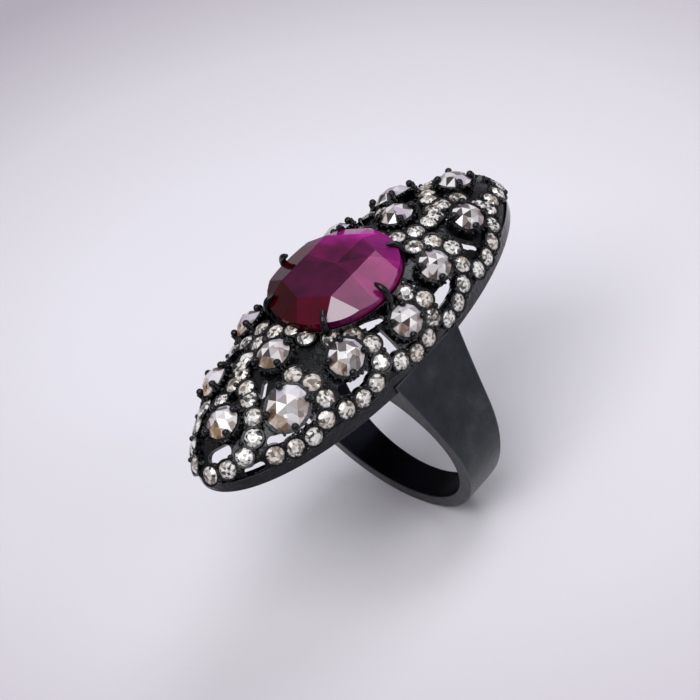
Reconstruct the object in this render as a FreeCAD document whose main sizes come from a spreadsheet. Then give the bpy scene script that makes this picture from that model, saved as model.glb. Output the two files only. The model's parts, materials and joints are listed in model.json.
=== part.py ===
"""Cocktail ring with a domed, pierced oval head, built as separate named pieces.

Frame: millimetres, origin at the centre of the finger hole, +Z up through the
centre stone, +Y along the finger (away from the front tip of the head), +X to
the right.  The head is the same after half a turn about Z.
"""
import FreeCAD, Part
import Sketcher
import math
import os

Vector = FreeCAD.Vector

# ---------------------------------------------------------------- driving sizes
DRIVING_SIZES = [
    ("finger_radius", 8.6, "radius of the finger hole"),
    ("band_thickness", 1.2, "radial thickness of the shank"),
    ("band_width_top", 8.2, "shank width where it meets the head"),
    ("band_width_middle", 5.0, "shank width at the height of the hole centre"),
    ("band_width_bottom", 2.8, "shank width opposite the head"),
    ("rim_half_length", 18.95, "base rim, half length along the finger"),
    ("rim_half_width", 7.7, "base rim, half width across the finger"),
    ("rim_bottom", 9.35, "height of the base rim's lower edge"),
    ("rim_depth", 1.0, "height of the base rim band at its tips"),
    ("rim_dip", 0.6, "how much lower the rim's edge is at the sides than at its tips"),
    ("rim_wall", 0.8, "wall thickness of the base rim"),
    ("dome_half_length", 19.05, "pave surface, half length"),
    ("dome_half_width", 8.0, "pave surface, half width"),
    ("dome_base", 9.75, "height at which the pave surface starts"),
    ("dome_rise", 5.6, "rise of the pave surface"),
    ("ruby_half_length", 5.75, "centre stone, half length"),
    ("ruby_half_width", 5.7, "centre stone, half width"),
    ("ruby_girdle", 15.6, "height of the centre stone's girdle"),
    ("ruby_crown", 1.4, "height of the centre stone's table above its girdle"),
    ("ruby_depth", 2.6, "depth of the centre stone under its girdle"),
    ("pave_diameter", 1.5, "diameter of a pave brilliant"),
    ("pave_pitch", 1.7, "distance between neighbouring pave brilliants"),
    ("bead_radius", 0.23, "radius of a setting bead"),
    ("side_crown", 0.8, "crown height of a side stone"),
    ("collet_height", 1.3, "height of a side stone's cup"),
    ("claw_radius", 0.26, "radius of a side stone's claw"),
    ("ruby_claw_radius", 0.32, "radius of a centre stone claw at its foot"),
]

doc = FreeCAD.newDocument("CocktailRing")
sheet = doc.addObject("Spreadsheet::Sheet", "Sizes")
for row, (alias, value, meaning) in enumerate(DRIVING_SIZES, start=1):
    sheet.set("A%d" % row, meaning)
    sheet.set("B%d" % row, str(value))
    sheet.setAlias("B%d" % row, alias)
doc.recompute()


def size(alias):
    """A driving size, read from the sheet."""
    return float(sheet.get(alias))


parts = []


def keep(obj, label):
    """Name a finished piece and list it for export."""
    obj.Label = label
    parts.append(obj)
    return obj


def keep_shape(label, shape):
    """A finished piece whose shape comes from Part functions."""
    piece = doc.addObject("Part::Feature", label)
    piece.Shape = shape
    piece.Placement = FreeCAD.Placement()
    return keep(piece, label)


# ---------------------------------------------------------------- dome geometry
# The head's surface is the upper half of an ellipsoid.  A spot on it is named
# by how far it lies across and along the head, measured over the surface.
OVER_HALF_WIDTH = 10.0
OVER_HALF_LENGTH = 20.5


def dome(across, along, lift=0.0):
    """Point over the dome at a height above its surface, and the outward normal."""
    reach = math.hypot(across / OVER_HALF_WIDTH, along / OVER_HALF_LENGTH)
    turn = math.atan2(along / OVER_HALF_LENGTH, across / OVER_HALF_WIDTH)
    fall = reach * math.pi / 2
    half_width, half_length, rise = size("dome_half_width"), size("dome_half_length"), size("dome_rise")
    foot = Vector(half_width * math.sin(fall) * math.cos(turn),
                  half_length * math.sin(fall) * math.sin(turn),
                  rise * math.cos(fall))
    normal = Vector(foot.x / half_width ** 2, foot.y / half_length ** 2, foot.z / rise ** 2)
    normal.normalize()
    return foot + Vector(0, 0, size("dome_base")) + normal * lift, normal


def seat(across, along, lift=0.0, spin=0.0):
    """Placement on the dome: local Z along the normal, local X across the head."""
    point, normal = dome(across, along, lift)
    side = Vector(0, 1, 0).cross(normal)
    side.normalize()
    forward = normal.cross(side)
    matrix = FreeCAD.Matrix(side.x, forward.x, normal.x, 0,
                            side.y, forward.y, normal.y, 0,
                            side.z, forward.z, normal.z, 0,
                            0, 0, 0, 1)
    turned = FreeCAD.Placement(matrix)
    spun = FreeCAD.Rotation(Vector(0, 0, 1), spin)
    return FreeCAD.Placement(point, turned.Rotation.multiply(spun))


def placed(shape, placement):
    """A copy of a shape carried to a placement."""
    return shape.transformed(placement.toMatrix(), True)


HALF_TURN = FreeCAD.Placement(Vector(), FreeCAD.Rotation(Vector(0, 0, 1), 180))


def half_turn(shape):
    """The same shape on the other side of the head."""
    return placed(shape, HALF_TURN)


# ---------------------------------------------------------------- cut stones
def polyhedron(faces):
    """Solid bounded by flat faces given as lists of points."""
    plates = []
    for corners in faces:
        plates.append(Part.Face(Part.makePolygon(list(corners) + [corners[0]])))
    shell = Part.makeShell(plates)
    shell.sewShape()
    solid = Part.makeSolid(shell)
    if solid.Volume < 0:
        solid.reverse()
    return solid


def oval_points(turns, half_x, half_y, height):
    """Points of an oval at given angles in degrees."""
    points = []
    for turn in turns:
        angle = math.radians(turn)
        points.append(Vector(half_x * math.cos(angle), half_y * math.sin(angle), height))
    return points


def ring(count, half_x, half_y, height):
    """Evenly spaced points around an oval."""
    turns = [360 * k / count for k in range(count)]
    return oval_points(turns, half_x, half_y, height)


BRILLIANT_TABLE = 0.56      # shares of the girdle radius
BRILLIANT_CROWN = 0.32
BRILLIANT_DEPTH = 0.84


def brilliant(diameter):
    """Round brilliant: octagonal table, crown facets, pavilion to a point."""
    radius = diameter / 2
    table_radius = BRILLIANT_TABLE * radius
    table = ring(8, table_radius, table_radius, BRILLIANT_CROWN * radius)
    girdle = ring(16, radius, radius, 0.0)
    culet = Vector(0, 0, -BRILLIANT_DEPTH * radius)
    faces = [table]
    for k in range(8):
        after = (k + 1) % 8
        faces.append([table[k], girdle[2 * k - 1], girdle[2 * k]])
        faces.append([table[k], girdle[2 * k], girdle[2 * k + 1]])
        faces.append([table[k], girdle[2 * k + 1], table[after]])
    for k in range(16):
        faces.append([girdle[k], culet, girdle[(k + 1) % 16]])
    return polyhedron(faces)


ROSE_BELT = 0.56            # shares of the half sizes
ROSE_BASE = 0.60
ROSE_BELT_HEIGHT = 0.74     # shares of the crown height
ROSE_DEPTH = 0.50


def rose_cut(half_x, half_y, height):
    """Rose cut: a point of six facets, a belt of eighteen, a shallow base."""
    crown = ring(6, ROSE_BELT * half_x, ROSE_BELT * half_y, ROSE_BELT_HEIGHT * height)
    girdle = ring(12, half_x, half_y, 0.0)
    base = ring(12, ROSE_BASE * half_x, ROSE_BASE * half_y, -ROSE_DEPTH * height)
    peak = Vector(0, 0, height)
    faces = [list(reversed(base))]
    for k in range(6):
        after = (k + 1) % 6
        faces.append([peak, crown[k], crown[after]])
        faces.append([crown[k], girdle[2 * k - 1], girdle[2 * k]])
        faces.append([crown[k], girdle[2 * k], girdle[2 * k + 1]])
        faces.append([crown[k], girdle[2 * k + 1], crown[after]])
    for k in range(12):
        after = (k + 1) % 12
        faces.append([girdle[k], base[k], girdle[after]])
        faces.append([girdle[after], base[k], base[after]])
    return polyhedron(faces)


TABLE_TURNS = (45, 90, 135, 225, 270, 315)      # corners of the centre stone's table
TABLE_SHARE = 0.70
OUTLINE_SHARE = 1.09        # the facets run out past the girdle before it is turned oval
GIRDLE_WALL = 0.3


def oval_cut(half_x, half_y, crown, depth):
    """Large oval stone: six-sided table, a facet off each side and corner, a pointed underside."""
    table = oval_points(TABLE_TURNS, TABLE_SHARE * half_x, TABLE_SHARE * half_y, crown)
    turns = []
    for k, corner in enumerate(TABLE_TURNS):
        onward = TABLE_TURNS[(k + 1) % 6] + (360 if k == 5 else 0)
        middle = (corner + onward) / 2
        half_side = (onward - corner) / 4
        turns += [middle - half_side, middle + half_side]
    upper = oval_points(turns, OUTLINE_SHARE * half_x, OUTLINE_SHARE * half_y, 0.0)
    lower = oval_points(turns, OUTLINE_SHARE * half_x, OUTLINE_SHARE * half_y, -GIRDLE_WALL)
    keel = Vector(0, 0, -depth)
    faces = [table]
    for k in range(6):
        after = (k + 1) % 6
        faces.append([table[k], upper[2 * k], upper[2 * k + 1], table[after]])
        faces.append([table[k], upper[2 * k - 1], upper[2 * k]])
    for k in range(12):
        after = (k + 1) % 12
        faces.append([upper[k], lower[k], lower[after], upper[after]])
        faces.append([lower[k], keel, lower[after]])
    rim = Part.Ellipse(Vector(0, half_y, -depth - 1), Vector(half_x, 0, -depth - 1), Vector(0, 0, -depth - 1))
    turned = Part.Face(Part.Wire([rim.toShape()])).extrude(Vector(0, 0, depth + crown + 2))
    return polyhedron(faces).common(turned)


# ---------------------------------------------------------------- metal details
def tapered_wire(stations):
    """Round wire through stations of (point, direction, radius)."""
    circles = []
    for point, direction, radius in stations:
        circles.append(Part.Wire([Part.makeCircle(radius, point, direction)]))
    return Part.makeLoft(circles, True, False)


# Stations of a claw: distance out from the girdle, height, lean and share of the radius.
RUBY_CLAW = [(-0.55, -2.5, 0.25, 1.15), (0.10, -1.2, 0.15, 1.1), (0.24, -0.1, -0.20, 1.0),
             (0.08, 0.45, -0.80, 0.95), (-0.28, 0.76, -1.05, 0.8), (-0.72, 1.00, -1.10, 0.35)]
STUB_CLAW = [(-0.45, -1.35, 0.0, 1.1), (0.12, -0.35, 0.2, 1.0), (0.12, 0.30, -0.3, 0.95)]
STUB_HEAD = (-0.04, 0.33, 1.2)      # out, up and share of the radius of its round head


def claw(stations, reach, radius):
    """Tapering claw standing outside a girdle, following its stations."""
    wire = []
    for out, up, lean, girth in stations:
        wire.append((Vector(reach + out, 0, up), Vector(math.sin(lean), 0, math.cos(lean)), radius * girth))
    return tapered_wire(wire)


def stub_claw(reach, radius):
    """Short claw of a side stone: a leaning post with a round head on the girdle."""
    out, up, girth = STUB_HEAD
    return claw(STUB_CLAW, reach, radius).fuse(Part.makeSphere(radius * girth, Vector(reach + out, 0, up)))


def oval_cup(half_x, half_y, top, bottom, wall, narrowing):
    """Open cup under a stone: a tapering oval tube."""
    def oval(height, grow):
        inner = 1.0 if height == top else narrowing
        points = []
        for k in range(24):
            angle = 2 * math.pi * k / 24
            points.append(Vector((half_x * inner + grow) * math.cos(angle),
                                 (half_y * inner + grow) * math.sin(angle), height))
        spline = Part.BSplineCurve()
        spline.interpolate(points, PeriodicFlag=True)
        return Part.Wire([spline.toShape()])

    outside = Part.makeLoft([oval(bottom, wall), oval(top, wall)], True, True)
    inside = Part.makeLoft([oval(bottom, 0.0), oval(top, 0.0)], True, True)
    return outside.cut(inside)


# ---------------------------------------------------------------- sketches
def plane_of(body, role):
    """One of a body's own origin planes."""
    for feature in body.Origin.OriginFeatures:
        if feature.Role == role:
            return feature
    raise RuntimeError("no plane " + role)


def new_sketch(body, name, role):
    sketch = body.newObject("Sketcher::SketchObject", name)
    sketch.AttachmentSupport = [(plane_of(body, role), "")]
    sketch.MapMode = "FlatFace"
    return sketch


def circle_in(sketch, radius_name):
    """Circle about the origin, its radius bound to the sheet."""
    line = sketch.addGeometry(Part.Circle(Vector(), Vector(0, 0, 1), size(radius_name)), False)
    sketch.addConstraint(Sketcher.Constraint("Coincident", line, 3, -1, 1))
    held = sketch.addConstraint(Sketcher.Constraint("Radius", line, size(radius_name)))
    return held


def outline_in(sketch, corners):
    """Closed outline of straight lines; every corner is held from the origin."""
    first = sketch.GeometryCount
    count = len(corners)
    for k in range(count):
        start, end = corners[k], corners[(k + 1) % count]
        sketch.addGeometry(Part.LineSegment(Vector(*start, 0), Vector(*end, 0)), False)
    for k in range(count):
        after = first + (k + 1) % count
        sketch.addConstraint(Sketcher.Constraint("Coincident", first + k, 2, after, 1))
        sketch.addConstraint(Sketcher.Constraint("DistanceX", -1, 1, first + k, 1, corners[k][0]))
        sketch.addConstraint(Sketcher.Constraint("DistanceY", -1, 1, first + k, 1, corners[k][1]))


def pocket_through(body, name, sketch):
    """Cut a sketch right through the body both ways, and check that it cut."""
    before = body.Tip.Shape.Volume
    cut = body.newObject("PartDesign::Pocket", name)
    cut.Profile = sketch
    cut.Type = "ThroughAll"
    cut.SideType = "Symmetric"
    doc.recompute()
    if not cut.Shape.Volume < before - 0.01:
        raise RuntimeError(name + " cuts nothing")
    return cut


# ---------------------------------------------------------------- shank
OPENING_HALF_ANGLE = 35.0   # the band is open under the head for this far each side
SHOULDER_TOP_INNER = 6.5    # where the shoulder's top meets the base rim inside
SHOULDER_OVERLAP = 0.15     # the shoulders run this far up into the rim


def build_shank():
    """Tapering band whose shoulders rise straight to the base rim."""
    body = doc.addObject("PartDesign::Body", "shank")
    outer = size("finger_radius") + size("band_thickness")

    band = new_sketch(body, "band_outline", "XZ_Plane")
    held = circle_in(band, "finger_radius")
    band.setExpression("Constraints[%d]" % held, "Sizes.finger_radius + Sizes.band_thickness")
    pad = body.newObject("PartDesign::Pad", "band")
    pad.Profile = band
    pad.SideType = "Symmetric"
    pad.setExpression("Length", "Sizes.band_width_top + 0.6")
    doc.recompute()

    top_x, top_z = size("rim_half_width"), size("rim_bottom") + SHOULDER_OVERLAP
    corner_turn = math.atan2(top_z, top_x)
    touch = corner_turn - math.acos(outer / math.hypot(top_x, top_z))
    opening = math.radians(OPENING_HALF_ANGLE)
    inner_x = size("finger_radius") * math.sin(opening)
    inner_z = size("finger_radius") * math.cos(opening)
    shoulders = new_sketch(body, "shoulder_outline", "XZ_Plane")
    for side in (1, -1):
        outline_in(shoulders, [(side * outer * math.cos(touch), outer * math.sin(touch)),
                               (side * top_x, top_z),
                               (side * SHOULDER_TOP_INNER, top_z),
                               (side * inner_x, inner_z),
                               (side * (inner_x + 0.4), inner_z - 0.9),
                               (side * (outer - 1.0), outer * math.sin(touch) - 0.4)])
    rise = body.newObject("PartDesign::Pad", "shoulders")
    rise.Profile = shoulders
    rise.SideType = "Symmetric"
    rise.setExpression("Length", "Sizes.band_width_top + 0.6")
    doc.recompute()

    hole = new_sketch(body, "finger_outline", "XZ_Plane")
    held = circle_in(hole, "finger_radius")
    hole.setExpression("Constraints[%d]" % held, "Sizes.finger_radius")
    pocket_through(body, "finger_hole", hole)

    mouth = new_sketch(body, "opening_outline", "XZ_Plane")
    slant = (SHOULDER_TOP_INNER - inner_x) / (top_z - inner_z)
    mouth_top = top_z + 1.0
    mouth_x = inner_x + slant * (mouth_top - inner_z)
    outline_in(mouth, [(-inner_x, inner_z), (inner_x, inner_z), (mouth_x, mouth_top), (-mouth_x, mouth_top)])
    pocket_through(body, "opening_under_head", mouth)

    sides = new_sketch(body, "taper_outline", "YZ_Plane")
    clear = size("band_width_top")
    low, high = -outer - 0.5, top_z + 0.3
    for side in (1, -1):
        top = Vector(side * size("band_width_top") / 2, high, 0)
        middle = Vector(side * size("band_width_middle") / 2, 0, 0)
        bottom = Vector(side * size("band_width_bottom") / 2, low, 0)
        far_low, far_high = Vector(side * clear, low, 0), Vector(side * clear, high, 0)
        sides.addGeometry(Part.Arc(top, middle, bottom), False)
        sides.addGeometry(Part.LineSegment(bottom, far_low), False)
        sides.addGeometry(Part.LineSegment(far_low, far_high), False)
        sides.addGeometry(Part.LineSegment(far_high, top), False)
    pocket_through(body, "side_taper", sides)
    return keep(body, "shank")


# ---------------------------------------------------------------- base rim
def build_base_rim():
    """Plain oval band under the pierced dome."""
    solids = []
    for name, inset in (("rim_outside", "0"), ("rim_inside", "Sizes.rim_wall")):
        oval = doc.addObject("Part::Ellipse", name)
        oval.setExpression("MajorRadius", "Sizes.rim_half_length - " + inset)
        oval.setExpression("MinorRadius", "Sizes.rim_half_width - " + inset)
        oval.Placement = FreeCAD.Placement(Vector(0, 0, size("rim_bottom") - size("rim_dip")),
                                           FreeCAD.Rotation(Vector(0, 0, 1), 90))
        tube = doc.addObject("Part::Extrusion", name + "_solid")
        tube.Base = oval
        tube.DirMode = "Custom"
        tube.Dir = Vector(0, 0, 1)
        tube.Solid = True
        tube.setExpression("LengthFwd", "Sizes.rim_depth + Sizes.rim_dip")
        solids.append(tube)
    band = doc.addObject("Part::Cut", "rim_band")
    band.Base, band.Tool = solids
    hollow = doc.addObject("Part::Cylinder", "rim_underside")
    hollow.Radius = size("rim_half_length") ** 2 / (2 * size("rim_dip"))
    hollow.Height = 6 * size("rim_half_width")
    turn = FreeCAD.Rotation(Vector(0, 1, 0), 90)
    height = size("rim_bottom") - size("rim_dip") + hollow.Radius.Value
    hollow.Placement = FreeCAD.Placement(Vector(-3 * size("rim_half_width"), 0, height), turn)
    rim = doc.addObject("Part::Common", "base_rim")
    rim.Base, rim.Tool = band, hollow
    return keep(rim, "base_rim")


# ---------------------------------------------------------------- centre stone
RUBY_CLAW_TURNS = (0, 56, 124, 180, 236, 304)
# Top, bottom, wall and narrowing of the cup and of the rail it stands on.
RUBY_CUP = (-0.4, -1.3, 0.35, 0.92)
RUBY_RAIL = (-2.2, -2.9, 0.35, 0.95)


def build_centre():
    """The faceted centre stone, its open cup and six claws."""
    at_girdle = FreeCAD.Placement(Vector(0, 0, size("ruby_girdle")), FreeCAD.Rotation())
    half_x, half_y = size("ruby_half_width"), size("ruby_half_length")
    stone = oval_cut(half_x, half_y, size("ruby_crown"), size("ruby_depth"))
    keep_shape("ruby", placed(stone, at_girdle))
    cup = oval_cup(half_x - 0.1, half_y - 0.1, *RUBY_CUP)
    rail = oval_cup(half_x - 0.3, half_y - 0.3, *RUBY_RAIL)
    keep_shape("ruby_collet", placed(cup.fuse(rail), at_girdle))
    claws = []
    for turn in RUBY_CLAW_TURNS:
        hook = claw(RUBY_CLAW, half_x, size("ruby_claw_radius"))
        spin = FreeCAD.Placement(Vector(0, 0, size("ruby_girdle")), FreeCAD.Rotation(Vector(0, 0, 1), turn))
        claws.append(placed(hook, spin))
    keep_shape("ruby_claws", Part.makeCompound(claws))


# ---------------------------------------------------------------- side stones
# name of the pair, place over the dome of the one in the front or right half,
# half sizes of the stone.  Its twin stands half a turn away.
SIDE_STONES = [
    ("tip", (0.0, -12.0), (1.5, 1.45)),
    ("inner", (0.4, -6.1), (1.45, 1.5)),
    ("outer_front_right", (3.75, -9.3), (1.65, 1.95)),
    ("middle_front_right", (4.8, -4.4), (1.45, 1.65)),
    ("side", (6.3, 0.05), (1.35, 1.45)),
    ("middle_back_right", (4.9, 4.4), (1.38, 1.5)),
    ("outer_back_right", (3.7, 9.4), (1.38, 1.5)),
]
CUP_WALL = 0.3
CUP_NARROWING = 0.74
STONE_SPIN = 15         # each stone and its claws are turned this far on its seat
STONE_LIFT = 0.38       # girdle of a side stone above the pave surface


STONE_PLACES = {stone[0]: stone[1] for stone in SIDE_STONES}


def build_side_stones():
    """Rose-cut side stones in tapering cups, four claws each, in half-turn pairs."""
    for pair, place, halves in SIDE_STONES:
        half_x, half_y = halves
        stand = seat(place[0], place[1], STONE_LIFT, STONE_SPIN)
        stone = placed(rose_cut(half_x, half_y, size("side_crown")), stand)
        keep_shape("stones_" + pair, Part.makeCompound([stone, half_turn(stone)]))
        cup = oval_cup(half_x - 0.05, half_y - 0.05, -0.02, -size("collet_height"), CUP_WALL, CUP_NARROWING)
        for turn in (45, 135, 225, 315):
            angle = math.radians(turn)
            reach = math.hypot(half_x * math.cos(angle), half_y * math.sin(angle))
            spin = FreeCAD.Placement(Vector(), FreeCAD.Rotation(Vector(0, 0, 1), turn))
            cup = cup.fuse(placed(stub_claw(reach, size("claw_radius")), spin))
        cup = placed(cup, stand)
        keep_shape("collets_" + pair, Part.makeCompound([cup, half_turn(cup)]))


# ---------------------------------------------------------------- pave scrolls
# Every scroll sweeps round one side stone: from and to angle (0 is across to the
# right, 90 is toward the back) and its distance from the stone at start, middle
# and end.  Each has a twin half a turn away.
SCROLLS = [
    ("tip_scroll", "front", "back", "tip", (-90, 82), (6.2, 2.7, 2.75)),
    ("tip_side_scroll", "front", "back", "tip", (253, 170), (6.0, 3.9, 3.4)),
    ("inner_scroll", "front", "back", "inner", (264, 57), (2.8, 2.25, 2.2)),
    ("outer_scroll", "front_right", "back_left", "outer_front_right", (-80, 124), (4.9, 2.6, 2.9)),
    ("middle_scroll", "front_right", "back_left", "middle_front_right", (-56, 160), (4.6, 2.1, 2.0)),
    ("side_scroll", "right", "left", "side", (-60, 150), (3.3, 2.4, 2.2)),
    ("middle_scroll", "back_right", "front_left", "middle_back_right", (-20, 185), (4.4, 2.35, 2.3)),
    ("edge_scroll", "back_right", "front_left", "outer_back_right", (-24, 95), (4.2, 3.35, 3.1)),
    ("bend_scroll", "back_right", "front_left", "outer_back_right", (235, 135), (2.7, 2.4, 2.3)),
]
RIM_REACH = 0.945       # scrolls stay within this share of the way down the dome
RIM_EASE = 0.02         # how gently a scroll bends to follow that limit
TUBE_RADIUS = 0.66
KNUCKLE_RADIUS = 0.78
TUBE_SINK = 0.62        # depth of a scroll's centre line under the pave surface
BEAD_LIFT = 0.1
BEAD_ASIDE = 0.62       # beads stand this far each side of the row
SEAT_GAP = 0.02         # a seat is this much larger than its brilliant
COLLAR_WALL = 0.17      # metal left round each pave brilliant
SPOKE_RADIUS = 0.42
SPOKE_START = 1.1       # a spoke starts this far from its stone's centre line
SPOKE_SHARES = (0.60, 0.94)    # where along a scroll its spokes stand


def scroll_path(centre, angles, distances, steps=48):
    """Places over the dome along a scroll, evenly stepped in angle."""
    start, middle, end = distances
    places = []
    for k in range(steps + 1):
        share = k / steps
        angle = math.radians(angles[0] + share * (angles[1] - angles[0]))
        away = (start * (1 - share) * (1 - 2 * share) + middle * 4 * share * (1 - share)
                + end * share * (2 * share - 1))
        across = centre[0] + away * math.cos(angle)
        along = centre[1] + away * math.sin(angle)
        reach = math.hypot(across / OVER_HALF_WIDTH, along / OVER_HALF_LENGTH)
        held = reach - RIM_EASE * math.log(1 + math.exp((reach - RIM_REACH) / RIM_EASE))
        shrink = held / reach
        places.append((across * shrink, along * shrink))
    return places


def evenly_along(places, pitch):
    """Places at an even pitch along a path, centred on it."""
    lengths = [0.0]
    for a, b in zip(places, places[1:]):
        lengths.append(lengths[-1] + (dome(*b)[0] - dome(*a)[0]).Length)
    count = int(lengths[-1] / pitch) + 1
    first = (lengths[-1] - (count - 1) * pitch) / 2
    spots = []
    for k in range(count):
        wanted = first + k * pitch
        i = 0
        while i < len(lengths) - 2 and lengths[i + 1] < wanted:
            i += 1
        share = (wanted - lengths[i]) / (lengths[i + 1] - lengths[i])
        a, b = places[i], places[i + 1]
        spots.append((a[0] + share * (b[0] - a[0]), a[1] + share * (b[1] - a[1])))
    return spots


def bar(start, end, radius):
    """Plain round bar between two points."""
    along = end - start
    return Part.makeCylinder(radius, along.Length, start, along)


def scroll_metal(places, spots, centre):
    """Knuckled bar along a scroll: spokes to its side stone, a collar and a cut seat for each brilliant."""
    radius = size("pave_diameter") / 2
    joints = [dome(spot[0], spot[1], -TUBE_SINK)[0] for spot in spots]
    solids = [bar(before, after, TUBE_RADIUS) for before, after in zip(joints, joints[1:])]
    solids += [Part.makeSphere(KNUCKLE_RADIUS, joint) for joint in joints]
    hub = dome(centre[0], centre[1], -TUBE_SINK)[0]
    for share in SPOKE_SHARES:
        outer = joints[int(share * (len(joints) - 1) + 0.5)]
        inner = hub + (outer - hub) * (SPOKE_START / (outer - hub).Length)
        solids.append(bar(inner, outer, SPOKE_RADIUS))
    seats = []
    for spot in spots:
        stand = seat(spot[0], spot[1])
        collar = Part.makeCylinder(radius + COLLAR_WALL, TUBE_SINK + 0.1, Vector(0, 0, -TUBE_SINK))
        solids.append(placed(collar, stand))
        depth = BRILLIANT_DEPTH * radius + SEAT_GAP
        pavilion = Part.makeCone(SEAT_GAP, radius + SEAT_GAP, depth, Vector(0, 0, -depth))
        mouth = Part.makeCylinder(radius + SEAT_GAP, 0.4)
        seats.append(placed(pavilion.fuse(mouth), stand))
    return solids[0].fuse(solids[1:]).cut(seats)


def build_scrolls():
    """Pierced dome: running scrolls, their brilliants and the beads that hold them."""
    gem = brilliant(size("pave_diameter"))
    beads = []
    for family, here, there, stone, angles, distances in SCROLLS:
        places = scroll_path(STONE_PLACES[stone], angles, distances)
        spots = evenly_along(places, size("pave_pitch"))
        metal = scroll_metal(places, spots, STONE_PLACES[stone])
        gems = Part.makeCompound([placed(gem, seat(spot[0], spot[1])) for spot in spots])
        for before, after in zip(spots, spots[1:]):
            middle = ((before[0] + after[0]) / 2, (before[1] + after[1]) / 2)
            point, normal = dome(middle[0], middle[1], BEAD_LIFT)
            onward = dome(*after)[0] - dome(*before)[0]
            aside = onward.cross(normal)
            aside.normalize()
            for side in (1, -1):
                bead = Part.makeSphere(size("bead_radius"), point + aside * (side * BEAD_ASIDE))
                beads += [bead, half_turn(bead)]
        keep_shape(family + "_" + here, metal)
        keep_shape(family + "_" + there, half_turn(metal))
        keep_shape("brilliants_" + family + "_" + here, gems)
        keep_shape("brilliants_" + family + "_" + there, half_turn(gems))
    keep_shape("setting_beads", Part.makeCompound(beads))


# ---------------------------------------------------------------- pierced plate
PLATE_TOP = 0.3         # depth of the plate's upper face under the pave surface
PLATE_WALL = 0.55
PLATE_EDGE = 0.15       # the plate ends this far above the dome's base
RUBY_OPENING_INSET = 1.3
# Piercings: both ends of a slot over the dome and its width.  Slots that share an
# end make one bent opening.  Each has a twin half a turn away.
PIERCINGS = [
    ((3.9, -1.9), (4.7, -0.8), 0.7),
    ((4.9, -1.7), (7.4, -2.0), 1.0),
    ((6.2, -6.5), (6.9, -5.6), 0.85),
    ((6.9, -5.6), (7.0, -4.7), 0.85),
    ((7.1, 2.7), (6.95, 4.0), 1.05),
    ((6.95, 4.0), (6.5, 5.3), 0.95),
    ((1.4, 4.8), (1.9, 6.5), 0.9),
    ((4.4, 7.3), (5.3, 8.1), 0.85),
    ((5.3, 8.1), (6.0, 9.1), 0.7),
    ((1.8, 8.9), (2.3, 8.2), 0.6),
    ((5.3, -11.7), (5.8, -10.7), 0.8),
    ((5.8, -10.7), (5.75, -9.4), 0.7),
    ((4.2, -12.4), (4.9, -11.9), 0.9),
    ((0.2, -10.2), (1.3, -9.9), 0.5),
    ((0.2, -15.4), (1.0, -14.4), 1.15),
    ((3.7, -16.5), (4.4, -15.5), 0.65),
    ((0.9, -7.9), (1.4, -8.9), 0.45),
    ((3.9, 2.3), (4.7, 2.6), 0.45),
]


def half_egg(inset):
    """Solid half ellipsoid under the pave surface, set in by a depth."""
    ball = Part.makeSphere(1.0)
    stretch = FreeCAD.Matrix()
    half_width, half_length, rise = size("dome_half_width"), size("dome_half_length"), size("dome_rise")
    stretch.scale(half_width - inset, half_length - inset, rise - inset)
    egg = ball.transformGeometry(stretch)
    egg.translate(Vector(0, 0, size("dome_base")))
    return egg


DRILL_SHARE = 0.62      # hole under a side stone, as a share of its half width
CUTTER_DEPTH = 2.6
CUTTER_LENGTH = 4.0


def slot_cutter(start, end, width):
    """Round-ended slot between two places on the dome, standing on it."""
    middle = ((start[0] + end[0]) / 2, (start[1] + end[1]) / 2)
    normal = dome(*middle)[1]
    foot, head = dome(*start)[0], dome(*end)[0]
    onward = head - foot
    onward -= normal * onward.dot(normal)
    turned = FreeCAD.Placement(foot - normal * CUTTER_DEPTH,
                               FreeCAD.Rotation(onward, Vector(), normal, "ZXY"))
    block = Part.makeBox(onward.Length, width, CUTTER_LENGTH, Vector(0, -width / 2, 0))
    ends = [Part.makeCylinder(width / 2, CUTTER_LENGTH, Vector(x, 0, 0)) for x in (0, onward.Length)]
    return placed(block.fuse(ends), turned)


def build_plate():
    """Thin domed plate that carries the scrolls, pierced between them and under the stones."""
    shell = half_egg(PLATE_TOP).cut(half_egg(PLATE_TOP + PLATE_WALL))
    reach = 2 * size("dome_half_length")
    foot = Vector(-reach / 2, -reach / 2, size("dome_base") + PLATE_EDGE)
    keep_above = Part.makeBox(reach, reach, reach, foot)
    shell = shell.common(keep_above)
    opening = size("ruby_half_width") - RUBY_OPENING_INSET
    cutters = [Part.makeCylinder(opening, 12, Vector(0, 0, size("dome_base")))]
    for start, end, width in PIERCINGS:
        cutter = slot_cutter(start, end, width)
        cutters += [cutter, half_turn(cutter)]
    for stone in SIDE_STONES:
        drill = Part.makeCylinder(DRILL_SHARE * stone[2][0], CUTTER_LENGTH, Vector(0, 0, -CUTTER_DEPTH))
        hole = placed(drill, seat(*stone[1]))
        cutters += [hole, half_turn(hole)]
    keep_shape("pierced_plate", shell.cut(cutters))


# ---------------------------------------------------------------- build and export
build_shank()
build_base_rim()
build_centre()
build_side_stones()
build_plate()
build_scrolls()
doc.recompute()

for obj in doc.Objects:
    if "Invalid" in obj.State or "Error" in obj.State:
        raise RuntimeError("%s did not build: %s" % (obj.Name, obj.State))
for piece in parts:
    if piece.Shape.isNull() or not piece.Shape.isValid():
        raise RuntimeError("%s has a bad shape" % piece.Label)

os.makedirs("parts", exist_ok=True)
for piece in parts:
    piece.Shape.exportStep("parts/%s.step" % piece.Label)
print("pieces", len(parts))
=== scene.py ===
"""Looks of the cocktail ring: materials, setting details, light and camera.

Lengths are in metres in the ring's own frame: origin at the centre of the
finger hole, +Z up through the centre stone, +Y along the finger. Names that
end in _mm are in millimetres, and angles are in degrees.
"""
import json
import math
import random

import bmesh
import bpy
import numpy
from mathutils import Matrix, Vector


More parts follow.
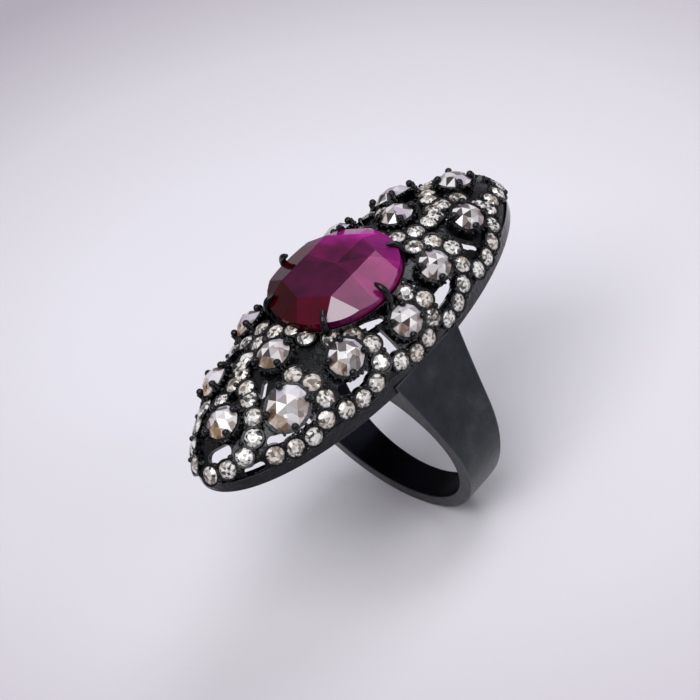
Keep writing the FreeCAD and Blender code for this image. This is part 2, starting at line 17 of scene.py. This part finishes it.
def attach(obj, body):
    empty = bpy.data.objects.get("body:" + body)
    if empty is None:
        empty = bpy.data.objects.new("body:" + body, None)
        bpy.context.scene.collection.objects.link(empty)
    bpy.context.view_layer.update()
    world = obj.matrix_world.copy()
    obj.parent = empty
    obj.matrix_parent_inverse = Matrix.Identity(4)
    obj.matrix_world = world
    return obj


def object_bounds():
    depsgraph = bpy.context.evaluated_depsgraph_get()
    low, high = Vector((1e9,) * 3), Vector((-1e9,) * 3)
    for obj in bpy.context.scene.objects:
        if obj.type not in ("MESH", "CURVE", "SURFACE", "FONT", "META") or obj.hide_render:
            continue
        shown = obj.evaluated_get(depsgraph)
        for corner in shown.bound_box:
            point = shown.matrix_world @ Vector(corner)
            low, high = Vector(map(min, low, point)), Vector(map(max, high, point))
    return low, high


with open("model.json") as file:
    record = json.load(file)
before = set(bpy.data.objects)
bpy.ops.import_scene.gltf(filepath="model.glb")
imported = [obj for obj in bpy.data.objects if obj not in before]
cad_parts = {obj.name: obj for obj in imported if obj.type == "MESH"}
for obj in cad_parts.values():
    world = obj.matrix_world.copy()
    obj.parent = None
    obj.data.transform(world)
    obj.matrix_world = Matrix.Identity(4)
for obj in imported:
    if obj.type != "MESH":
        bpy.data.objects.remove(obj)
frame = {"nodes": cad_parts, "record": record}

MM = 0.001
random.seed(7)
NODES = frame["nodes"]

cad_low, cad_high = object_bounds()
hole_radius_mm = frame["record"]["mounts"][0]["dims"]["r_mm"]

WHITE = (1.0, 1.0, 1.0)
FULL = (0.0, 1.0)           # the whole range of a value
MOST_NOISE = (0.3, 0.7)     # where most of a noise's values lie


# ---------------------------------------------------------------- shader helpers
class Shader:
    """A material under construction: short calls to add and join nodes."""

    def __init__(self, name):
        self.material = bpy.data.materials.new(name)
        self.material.use_nodes = True
        self.tree = self.material.node_tree
        self.tree.nodes.clear()
        self.output = self.tree.nodes.new("ShaderNodeOutputMaterial")

    def node(self, kind, **settings):
        """Add a node; each setting goes to the input of that name, or else to the node's property."""
        made = self.tree.nodes.new(kind)
        for key, value in settings.items():
            label = key.replace("_", " ")
            if label in made.inputs:
                self.feed(made.inputs[label], value)
            else:
                setattr(made, key, value)
        return made

    def feed(self, socket, value):
        """Join another node's output to an input, or give the input a plain value or colour."""
        if isinstance(value, bpy.types.NodeSocket):
            self.tree.links.new(value, socket)
        elif socket.type == "RGBA":
            socket.default_value = (*value, 1.0)
        else:
            socket.default_value = value

    def place(self, stretch=None):
        """Position in the ring's frame, stretched on request."""
        spot = self.node("ShaderNodeTexCoord").outputs["Object"]
        if stretch is None:
            return spot
        return self.node("ShaderNodeMapping", Vector=spot, Scale=stretch).outputs["Vector"]

    def coordinates(self):
        """Position in the ring's frame as outputs X, Y and Z."""
        return self.node("ShaderNodeSeparateXYZ", Vector=self.place()).outputs

    def noise(self, per_mm, detail, roughness=0.55, stretch=None):
        """Smooth noise with this many features per millimetre."""
        made = self.node("ShaderNodeTexNoise", Vector=self.place(stretch), Scale=per_mm / MM,
                         Detail=detail, Roughness=roughness)
        return made.outputs["Fac"]

    def cells(self, per_mm):
        """A random value for each small cell, with this many cells per millimetre."""
        cell = self.node("ShaderNodeTexVoronoi", Vector=self.place(), Scale=per_mm / MM)
        return self.node("ShaderNodeSeparateColor", Color=cell.outputs["Color"]).outputs["Red"]

    def each_facet(self):
        """A random value for each flat facet of a stone."""
        return self.node("ShaderNodeNewGeometry").outputs["Random Per Island"]

    def maths(self, operation, first, second=0.0):
        made = self.node("ShaderNodeMath", operation=operation)
        self.feed(made.inputs[0], first)
        self.feed(made.inputs[1], second)
        return made.outputs[0]

    def dot(self, first, second):
        made = self.node("ShaderNodeVectorMath", operation="DOT_PRODUCT")
        self.feed(made.inputs[0], first)
        self.feed(made.inputs[1], second)
        return made.outputs["Value"]

    def spread(self, value, source, target):
        """Carry the source range over to the target range, held at its ends."""
        made = self.node("ShaderNodeMapRange", Value=value, From_Min=source[0], From_Max=source[1],
                         To_Min=target[0], To_Max=target[1])
        return made.outputs["Result"]

    def ramp(self, value, stops):
        """Colour that goes through the stops, each a value and its colour."""
        made = self.node("ShaderNodeValToRGB", Fac=value)
        elements = made.color_ramp.elements
        while len(elements) < len(stops):
            elements.new(0.5)
        for element, (at, colour) in zip(elements, stops):
            element.position = at
            element.color = (*colour, 1.0)
        return made.outputs["Color"]

    def mixed(self, factor, first, second):
        """Blend of two colours, all the second where the factor is 1."""
        made = self.node("ShaderNodeMix", data_type="RGBA", Factor=factor)
        self.feed(colour_socket(made.inputs, "A"), first)
        self.feed(colour_socket(made.inputs, "B"), second)
        return colour_socket(made.outputs, "Result")

    def bump(self, height, depth_mm, strength, under):
        """Relief on top of another normal."""
        made = self.node("ShaderNodeBump", Strength=strength, Distance=depth_mm * MM, Height=height,
                         Normal=under)
        return made.outputs["Normal"]

    def facing(self, direction, source):
        """0 to 1 as a facet turns toward a direction, over a range of its cosine."""
        normal = self.node("ShaderNodeNewGeometry").outputs["True Normal"]
        return self.spread(self.dot(normal, Vector(direction).normalized()), source, FULL)

    def edge_wear(self, radius_mm):
        """A value that is 0 on flats and 1 on rubbed edges, and the normal that rounds those edges."""
        soft_normal = self.node("ShaderNodeBevel", samples=4, Radius=radius_mm * MM).outputs["Normal"]
        sharp_normal = self.node("ShaderNodeNewGeometry").outputs["Normal"]
        wear = self.spread(self.dot(soft_normal, sharp_normal), (0.80, 0.995), (1.0, 0.0))
        return wear, soft_normal

    def finish(self, surface):
        self.tree.links.new(surface, self.output.inputs["Surface"])
        return self.material


def colour_socket(sockets, name):
    """The colour socket of that name, where a node has others of the same name."""
    return next(one for one in sockets if one.name == name and one.type == "RGBA")


def set_material(obj, material):
    obj.data.materials.clear()
    obj.data.materials.append(material)


def mesh_object(name, points, faces):
    mesh = bpy.data.meshes.new(name)
    mesh.from_pydata(points, [], faces)
    mesh.update()
    obj = bpy.data.objects.new(name, mesh)
    bpy.context.scene.collection.objects.link(obj)
    return obj


# ---------------------------------------------------------------- metals
def metal_surface(shader, colour, rough, normal, **finish):
    """Metal under a thin oxide skin, with one relief for both."""
    skin = shader.node("ShaderNodeBsdfPrincipled", Base_Color=colour, Metallic=0.85, Roughness=rough,
                       Normal=normal, Coat_Normal=normal, **finish)
    return shader.finish(skin.outputs["BSDF"])


BAND_SHADES = [(0.45, (0.010, 0.013, 0.017)), (0.75, (0.024, 0.029, 0.034)), (0.95, (0.050, 0.056, 0.062))]
# Painted shade: the wall of the finger hole is painted near black and its glancing shine is dimmed, as
# shade inside the ring.
BAND_HOLE_PAINTED_SHADE = (0.003, 0.003, 0.006)
BAND_WORN = (0.12, 0.125, 0.13)
BAND_HOLE_SHADE_GLANCE = (0.25, 0.25, 0.30)     # painted shade: how little the inside shines at a glancing angle


def outside_hole(shader):
    """0 on the wall of the finger hole, 1 on the rest of the shank."""
    at = shader.coordinates()
    squares = shader.maths("ADD", shader.maths("MULTIPLY", at["X"], at["X"]),
                           shader.maths("MULTIPLY", at["Z"], at["Z"]))
    away_mm = shader.maths("MULTIPLY", shader.maths("POWER", squares, 0.5), 1 / MM)
    return shader.spread(away_mm, (hole_radius_mm + 0.02, hole_radius_mm + 0.06), FULL)


def band_metal():
    """Blackened silver of the shank: satin, hand filed, cool; smoother inside the hole, and painted darker
    there as painted shade.
    """
    shader = Shader("blackened_band")
    cloud = shader.noise(per_mm=0.35, detail=5.0, roughness=0.6)
    file_marks = shader.noise(per_mm=2.2, detail=5.0, roughness=0.7, stretch=(1.0, 9.0, 1.6))
    dents = shader.noise(per_mm=0.8, detail=3.0)
    wear, soft_normal = shader.edge_wear(radius_mm=0.22)
    outside = outside_hole(shader)

    mottled = shader.maths("ADD", cloud, shader.maths("MULTIPLY", file_marks, 0.35))
    # painted shade: near black on the wall of the hole
    colour = shader.mixed(outside, BAND_HOLE_PAINTED_SHADE, shader.ramp(mottled, BAND_SHADES))
    satin = shader.spread(file_marks, MOST_NOISE, (0.24, 0.46))
    smoother = shader.spread(outside, FULL, (0.55, 1.0))
    relief = shader.bump(file_marks, depth_mm=0.035, strength=0.5, under=soft_normal)
    return metal_surface(
        shader,
        colour=shader.mixed(wear, colour, BAND_WORN),
        rough=shader.maths("MULTIPLY", satin, smoother),
        normal=shader.bump(dents, depth_mm=0.09, strength=0.45, under=relief),
        Specular_Tint=shader.mixed(outside, BAND_HOLE_SHADE_GLANCE, WHITE),
        Coat_Weight=shader.spread(outside, FULL, (0.02, 0.15)),
        Coat_Roughness=0.15)


HEAD_SHADES = [(0.35, (0.003, 0.004, 0.005)), (0.60, (0.009, 0.010, 0.012)), (0.80, (0.028, 0.030, 0.034))]
HEAD_RUBBED = (0.09, 0.09, 0.10)


def head_metal():
    """Blackened silver of the settings: near black and glossy, with casting grain and rubbed high spots."""
    shader = Shader("blackened_head")
    grain = shader.noise(per_mm=1.6, detail=5.0, roughness=0.65)
    pits = shader.noise(per_mm=2.4, detail=4.0)
    wear, soft_normal = shader.edge_wear(radius_mm=0.06)
    half_rubbed = shader.maths("MULTIPLY", wear, 0.5)
    return metal_surface(
        shader,
        colour=shader.mixed(half_rubbed, shader.ramp(grain, HEAD_SHADES), HEAD_RUBBED),
        rough=shader.spread(grain, MOST_NOISE, (0.12, 0.34)),
        normal=shader.bump(pits, depth_mm=0.08, strength=0.8, under=soft_normal),
        Coat_Weight=0.40,
        Coat_Roughness=0.06)


# ---------------------------------------------------------------- stones
def stone_surface(shader, body, clear, index, share_body, skin_index=None):
    """Polished stone: part seen-through glass, part body colour under the polish, which carries each
    stone's colour and its painted light and shade.
    """
    glass = shader.node("ShaderNodeBsdfGlass", Color=clear, IOR=index, Roughness=0.0)
    skin = shader.node("ShaderNodeBsdfPrincipled", Base_Color=body, Roughness=0.05, IOR=skin_index or index)
    both = shader.node("ShaderNodeMixShader", Fac=share_body)
    shader.feed(both.inputs[1], glass.outputs["BSDF"])
    shader.feed(both.inputs[2], skin.outputs["BSDF"])
    return shader.finish(both.outputs["Shader"])


# Painted reflections of the underside facets, as wedges of different brightness seen through the table.
UNDERSIDE_CENTRE = (0.5 * MM, 0.4 * MM)     # where the wedges meet, off the stone's own centre
UNDERSIDE_WEDGES = 7
UNDERSIDE_TURN = 0.3                        # of one wedge
UNDERSIDE_BRIGHTNESS = (0.55, 1.45)


def underside_reflections(shader):
    """Painted reflections: brightness of the wedges seen through the centre stone's table."""
    at = shader.coordinates()
    across = shader.maths("SUBTRACT", at["X"], UNDERSIDE_CENTRE[0])
    along = shader.maths("SUBTRACT", at["Y"], UNDERSIDE_CENTRE[1])
    turn = shader.maths("ARCTAN2", along, across)
    wedges = shader.maths("MULTIPLY", turn, UNDERSIDE_WEDGES / math.tau)
    number = shader.maths("FLOOR", shader.maths("ADD", wedges, UNDERSIDE_TURN))
    drawn = shader.node("ShaderNodeTexWhiteNoise", noise_dimensions="1D", W=number)
    return shader.spread(drawn.outputs["Value"], FULL, UNDERSIDE_BRIGHTNESS)


# Painted light and shade on the centre stone: facets turned away from the back right are painted crimson as
# shade, and those turned toward it plum to magenta as sheen.
BACK_RIGHT = (0.80, 0.60, 0.0)
RUBY_PAINTED_SHADING = [(0.0, (0.055, 0.0004, 0.003)), (0.24, (0.120, 0.0006, 0.008)), (0.40, (0.080, 0.003, 0.036)),
               (0.60, (0.100, 0.004, 0.052)), (0.95, (0.240, 0.012, 0.118))]
# Painted sheen: magenta along the back of the centre stone.
RUBY_PAINTED_BACK_SHEEN = (0.30, 0.010, 0.210)
BACK_SHEEN_SHARE = 0.72
BACK_SHEEN_REACH = (2.1 * MM, 4.2 * MM)        # painted sheen along the back: along +Y, from where it starts to where it is full
STREAK_WANDER = 1.3 * MM                    # how far its edge strays either way
# Painted reflection: one facet of the centre stone painted pale.
RUBY_PAINTED_GLINT = (0.44, 0.35, 0.39)
RUBY_CLEAR = (0.45, 0.005, 0.12)
GLINT_FACET = (0.448, -0.366, 0.815)         # the way the one facet faces that gets a painted reflection of the light


def ruby_stone():
    """Deep red-purple stone, coloured by the way each facet faces as painted light: painted shade leaves it
    crimson toward the front, painted sheen makes it plum in the middle and magenta to the back right; also
    a painted magenta sheen along the back, painted reflections of the underside facets, and one facet
    painted pale as a reflection of the light.
    """
    shader = Shader("ruby_glass")
    # painted shade and sheen, by the way each facet faces
    body = shader.ramp(shader.facing(BACK_RIGHT, (-0.36, 0.46)), RUBY_PAINTED_SHADING)

    # painted sheen: magenta toward the back, its edge wandering
    streaks = shader.noise(per_mm=0.25, detail=2.0, stretch=(0.5, 1.6, 1.0))
    wander = shader.spread(streaks, MOST_NOISE, (-STREAK_WANDER, STREAK_WANDER))
    toward_back = shader.maths("ADD", shader.coordinates()["Y"], wander)
    back_sheen = shader.spread(toward_back, BACK_SHEEN_REACH, (0.0, BACK_SHEEN_SHARE))
    body = shader.mixed(back_sheen, body, RUBY_PAINTED_BACK_SHEEN)

    cloud = shader.spread(shader.noise(per_mm=0.30, detail=3.0, roughness=0.6), MOST_NOISE, (0.6, 1.4))
    # scaled by the painted underside reflections and a random cloud
    shaded = shader.node("ShaderNodeVectorMath", operation="SCALE")
    shader.feed(shaded.inputs[0], body)
    shader.feed(shaded.inputs["Scale"], shader.maths("MULTIPLY", underside_reflections(shader), cloud))

    # painted reflection: the one facet turned toward the light is painted pale
    glint_facet = shader.facing(GLINT_FACET, (0.9975, 0.9985))
    skin = shader.mixed(glint_facet, shaded.outputs["Vector"], RUBY_PAINTED_GLINT)
    # the glass tint takes half of this painted colour too
    clear = shader.mixed(0.5, skin, RUBY_CLEAR)
    return stone_surface(shader, skin, clear, index=1.77, share_body=0.90, skin_index=1.30)


LOW_FRONT = (-0.23, -0.90, -0.38)
# Painted reflections on the side stones: facets painted white, lilac, brown and near black at random, as a
# diamond's facets mirror light and dark.
ROSE_REFLECTIONS = [(0.0, (0.015, 0.012, 0.012)), (0.18, (0.09, 0.065, 0.06)), (0.32, (0.46, 0.37, 0.34)),
               (0.44, (1.0, 0.99, 1.0)), (0.60, (0.56, 0.48, 0.60)), (0.76, WHITE),
               (0.90, (0.26, 0.21, 0.20)), (1.0, (0.90, 0.88, 0.90))]
# Painted sparkle: some cells painted near white, others painted dark.
ROSE_SPARKLE = (0.98, 0.96, 0.98)
ROSE_PAINTED_DARK = (0.06, 0.045, 0.035)
AMBER_SHADES = [(0.1, (0.12, 0.05, 0.015)), (0.4, (0.42, 0.24, 0.09)),
                (0.7, (0.80, 0.62, 0.42)), (0.9, (0.95, 0.88, 0.78))]


def side_stone():
    """Rose-cut stone: painted reflections make white and lilac facets, with painted dark ones between;
    amber toward the front lower edge.
    """
    shader = Shader("rose_cut_glass")
    # painted reflections: each facet a random light or dark shade, with painted sparkle and painted dark on
    # some cells
    sparks = shader.cells(per_mm=1.1)
    painted_sparkle = shader.spread(sparks, (0.72, 0.78), (0.0, 0.6))
    painted_dark = shader.spread(sparks, (0.10, 0.16), (0.7, 0.0))
    colour = shader.mixed(painted_sparkle, shader.ramp(shader.each_facet(), ROSE_REFLECTIONS), ROSE_SPARKLE)
    colour = shader.mixed(painted_dark, colour, ROSE_PAINTED_DARK)
    warm = shader.maths("MULTIPLY", shader.facing(LOW_FRONT, (0.05, 0.55)), 0.85)
    colour = shader.mixed(warm, colour, shader.ramp(shader.cells(per_mm=2.1), AMBER_SHADES))
    return stone_surface(shader, colour, colour, index=2.0, share_body=0.76)


# Painted sparkle on the small stones: flecks painted from near black to near white as reflections.
BRILLIANT_SPARKLE = [(0.24, (0.020, 0.018, 0.016)), (0.40, (0.20, 0.18, 0.155)),
                    (0.54, (0.70, 0.67, 0.63)), (0.70, (1.0, 0.995, 0.98))]
CHAMPAGNE = (0.58, 0.46, 0.32)


def small_stone():
    """Round brilliant: sharp light and dark flecks of painted sparkle, a little champagne in some stones.
    """
    shader = Shader("brilliant_glass")
    # painted sparkle, per facet and per small cell
    flecks = shader.maths("ADD", shader.maths("MULTIPLY", shader.each_facet(), 0.40),
                          shader.maths("MULTIPLY", shader.cells(per_mm=4.2), 0.60))
    warmth = shader.spread(shader.noise(per_mm=0.55, detail=1.0), (0.48, 0.64), (0.0, 0.34))
    colour = shader.mixed(warmth, shader.ramp(flecks, BRILLIANT_SPARKLE), CHAMPAGNE)
    return stone_surface(shader, colour, colour, index=2.2, share_body=0.80)


# ---------------------------------------------------------------- dress the CAD nodes
def dress():
    """Give each CAD node its material, and return the head's metal for the pieces added to it."""
    band, head = band_metal(), head_metal()
    ruby, side, small = ruby_stone(), side_stone(), small_stone()
    for name, obj in NODES.items():
        if name == "shank":
            set_material(obj, band)
        elif name == "ruby":
            set_material(obj, ruby)
        elif name.startswith("stones_"):
            set_material(obj, side)
        elif name.startswith("brilliants_"):
            set_material(obj, small)
        else:
            set_material(obj, head)
    return head


# ---------------------------------------------------------------- grain edging round the side stones
GRAINS_ROUND = 20
GRAIN_RADIUS = 0.14 * MM
GRAIN_OUT = 0.33 * MM       # a grain's centre outside the stone's girdle
GRAIN_DROP = 0.16 * MM      # and below it
TURN_OFF = (-0.12, 0.12)    # how far a grain sits from its even place, in steps round the stone
RADIUS_VARIES = (0.85, 1.15)
OUT_VARIES = (0.92, 1.08)
DROP_VARIES = (0.6, 1.4)
GIRDLE_SHARE = 0.9          # corners beyond this share of the stone's width lie on its girdle


def twins(name):
    """The corner points of each of the two stones of a pair, half a turn apart."""
    stone = NODES[name]
    points = numpy.array([tuple(stone.matrix_world @ vertex.co) for vertex in stone.data.vertices])
    flat = points[:, :2]
    farthest = flat[numpy.argmax((flat ** 2).sum(axis=1))]
    near_it = flat @ farthest > 0
    return points[near_it], points[~near_it]


def girdle_of(points):
    """Centre of a stone's girdle, two directions across the stone, and its upward normal."""
    middle = (points.max(axis=0) + points.min(axis=0)) / 2
    across, along, normal = numpy.linalg.svd(points - middle, full_matrices=False)[2]
    if normal[2] < 0:
        normal = -normal
    height = (points - middle) @ normal
    wide = numpy.hypot((points - middle) @ across, (points - middle) @ along)
    level = height[wide > GIRDLE_SHARE * wide.max()].mean()
    return middle + normal * level, across, along, normal


def grains_round(points):
    """Places of the grains round one stone, each a little off its even place, as set by hand."""
    centre, across, along, normal = girdle_of(points)
    places = []
    for k in range(GRAINS_ROUND):
        angle = math.tau * (k + random.uniform(*TURN_OFF)) / GRAINS_ROUND
        outward = across * math.cos(angle) + along * math.sin(angle)
        reach = ((points - centre) @ outward).max() + GRAIN_OUT * random.uniform(*OUT_VARIES)
        places.append(centre + outward * reach - normal * GRAIN_DROP * random.uniform(*DROP_VARIES))
    return places


def ball_template():
    """Corner points and faces of a ball of unit radius."""
    made = bmesh.new()
    bmesh.ops.create_icosphere(made, subdivisions=2, radius=1.0)
    points = [vertex.co.copy() for vertex in made.verts]
    faces = [[vertex.index for vertex in face.verts] for face in made.faces]
    made.free()
    return points, faces


def grain_edging(metal):
    """Raised grains along the edge of every side stone's cup."""
    ball, ball_faces = ball_template()
    points, faces = [], []
    for name in sorted(node for node in NODES if node.startswith("stones_")):
        for stone in twins(name):
            for place in grains_round(stone):
                first = len(points)
                radius = GRAIN_RADIUS * random.uniform(*RADIUS_VARIES)
                points += [Vector(place) + corner * radius for corner in ball]
                faces += [[first + index for index in face] for face in ball_faces]
    edging = mesh_object("cup_grain_edging", points, faces)
    for face in edging.data.polygons:
        face.use_smooth = True
    set_material(edging, metal)
    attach(edging, "root")


# ---------------------------------------------------------------- stage
FLOOR_CLEARANCE = 0.02 * MM
FLOOR_REACH = 1.5
# Painted light on the floor: palest in a pool and darker outward.
FLOOR_PAINTED_LIGHT = [(0.0, (0.76, 0.745, 0.80)), (0.45, (0.68, 0.66, 0.705)), (1.0, (0.47, 0.435, 0.49))]
POOL_CENTRE = (-30.0 * MM, 15.0 * MM, 0.0)  # a painted pool of light: the floor is palest here and falls off around
POOL_SQUEEZE = (0.75, 1.0, 0.0)             # the painted pool of light is longer across than along
POOL_INNER = 20.0 * MM
POOL_OUTER = 66.0 * MM


def floor():
    """Pale floor under the ring, with a painted pool of light that falls off outward."""
    height = cad_low.z - FLOOR_CLEARANCE
    corners = [(side * FLOOR_REACH, end * FLOOR_REACH, height)
               for side, end in ((-1, -1), (1, -1), (1, 1), (-1, 1))]
    obj = mesh_object("floor", corners, [(0, 1, 2, 3)])

    shader = Shader("pale_floor")
    away = shader.node("ShaderNodeVectorMath", operation="DISTANCE")
    shader.feed(away.inputs[0], shader.place(POOL_SQUEEZE))
    shader.feed(away.inputs[1], [middle * squeeze for middle, squeeze in zip(POOL_CENTRE, POOL_SQUEEZE)])
    # painted light: darker with distance from the pool's centre
    outward = shader.spread(away.outputs["Value"], (POOL_INNER, POOL_OUTER), FULL)
    cloud = shader.spread(shader.noise(per_mm=0.012, detail=2.0), FULL, (-0.04, 0.04))
    colour = shader.ramp(shader.maths("ADD", outward, cloud), FLOOR_PAINTED_LIGHT)
    skin = shader.node("ShaderNodeBsdfPrincipled", Base_Color=colour, Roughness=0.75)
    set_material(obj, shader.finish(skin.outputs["BSDF"]))


# ---------------------------------------------------------------- light
LIT_SPOT = Vector((0.0, 0.0, 12 * MM))      # the middle of the head


def heading(azimuth, elevation):
    """Unit vector toward a direction round the ring; azimuth 0 is in front, 90 to the right."""
    around, up = math.radians(azimuth), math.radians(elevation)
    return Vector((math.sin(around) * math.cos(up), -math.cos(around) * math.cos(up), math.sin(up)))


def softbox(name, azimuth, elevation, distance, width, height, watts, colour=WHITE):
    """Rectangular light aimed at the head."""
    light = bpy.data.lights.new(name, "AREA")
    light.shape = "RECTANGLE"
    light.size = width
    light.size_y = height
    light.energy = watts
    light.color = colour
    obj = bpy.data.objects.new(name, light)
    bpy.context.scene.collection.objects.link(obj)
    away = heading(azimuth, elevation)
    obj.location = away * distance + LIT_SPOT
    obj.rotation_mode = "QUATERNION"
    obj.rotation_quaternion = away.to_track_quat("Z", "Y")


LOW_LIGHT = (0.30, 0.29, 0.32)
CEILING = (0.88, 0.87, 0.92)
CEILING_FROM = 0.9                          # height on the unit sphere of the surroundings
ROOM_STRENGTH = 0.55
BACKDROP = (0.60, 0.585, 0.63)


def room():
    """Soft even studio surroundings with a brighter ceiling; seen directly, a plain pale backdrop."""
    world = bpy.data.worlds.new("studio")
    bpy.context.scene.world = world
    world.use_nodes = True
    nodes, links = world.node_tree.nodes, world.node_tree.links

    where = nodes.new("ShaderNodeTexCoord")
    split = nodes.new("ShaderNodeSeparateXYZ")
    links.new(where.outputs["Generated"], split.inputs["Vector"])
    ramp = nodes.new("ShaderNodeValToRGB")
    links.new(split.outputs["Z"], ramp.inputs["Fac"])
    low, high = ramp.color_ramp.elements
    low.position = 0.0
    low.color = (*LOW_LIGHT, 1.0)
    high.position = CEILING_FROM
    high.color = (*CEILING, 1.0)

    surroundings = nodes["Background"]
    links.new(ramp.outputs["Color"], surroundings.inputs["Color"])
    surroundings.inputs["Strength"].default_value = ROOM_STRENGTH
    backdrop = nodes.new("ShaderNodeBackground")
    backdrop.inputs["Color"].default_value = (*BACKDROP, 1.0)

    seen = nodes.new("ShaderNodeLightPath")
    either = nodes.new("ShaderNodeMixShader")
    links.new(seen.outputs["Is Camera Ray"], either.inputs["Fac"])
    links.new(surroundings.outputs["Background"], either.inputs[1])
    links.new(backdrop.outputs["Background"], either.inputs[2])
    links.new(either.outputs["Shader"], nodes["World Output"].inputs["Surface"])


# ---------------------------------------------------------------- camera
CAMERA_AZIMUTH = 56.1
CAMERA_ELEVATION = 40.6
CAMERA_ROLL = 24.0
CAMERA_DISTANCE = 182 * MM
LENS_MM = 109.0
SENSOR_MM = 36.0
NEAREST_SEEN = 0.005
FARTHEST_SEEN = 10.0
AIM_RIGHT = -3.72 * MM      # the picture's centre, from the hole's centre
AIM_UP = 5.26 * MM


def camera():
    """Close long-lens view of the right front, the ring leaning to the left."""
    toward = heading(CAMERA_AZIMUTH, CAMERA_ELEVATION)
    level_right = heading(CAMERA_AZIMUTH + 90, 0)
    right = Matrix.Rotation(math.radians(-CAMERA_ROLL), 3, toward) @ level_right
    up = toward.cross(right)
    spot = toward * CAMERA_DISTANCE
    aim = right * AIM_RIGHT + up * AIM_UP
    look_back = (spot - aim).normalized()
    side = up.cross(look_back).normalized()
    over = look_back.cross(side)
    data = bpy.data.cameras.new("camera")
    data.lens = LENS_MM
    data.sensor_width = SENSOR_MM
    data.clip_start = NEAREST_SEEN
    data.clip_end = FARTHEST_SEEN
    obj = bpy.data.objects.new("camera", data)
    bpy.context.scene.collection.objects.link(obj)
    turn = Matrix((side, over, look_back)).transposed()
    obj.matrix_world = Matrix.Translation(spot) @ turn.to_4x4()
    bpy.context.scene.camera = obj


# ---------------------------------------------------------------- put together
grain_edging(dress())
floor()
room()
softbox("key_softbox", azimuth=25, elevation=63, distance=0.35, width=0.30, height=0.22, watts=0.85)
softbox("back_softbox", azimuth=172, elevation=58, distance=0.40, width=0.18, height=0.16, watts=0.40,
        colour=(0.97, 0.97, 1.0))
softbox("side_strip", azimuth=110, elevation=20, distance=0.30, width=0.06, height=0.25, watts=0.2)
camera()
bpy.context.scene.view_settings.view_transform = "Standard"
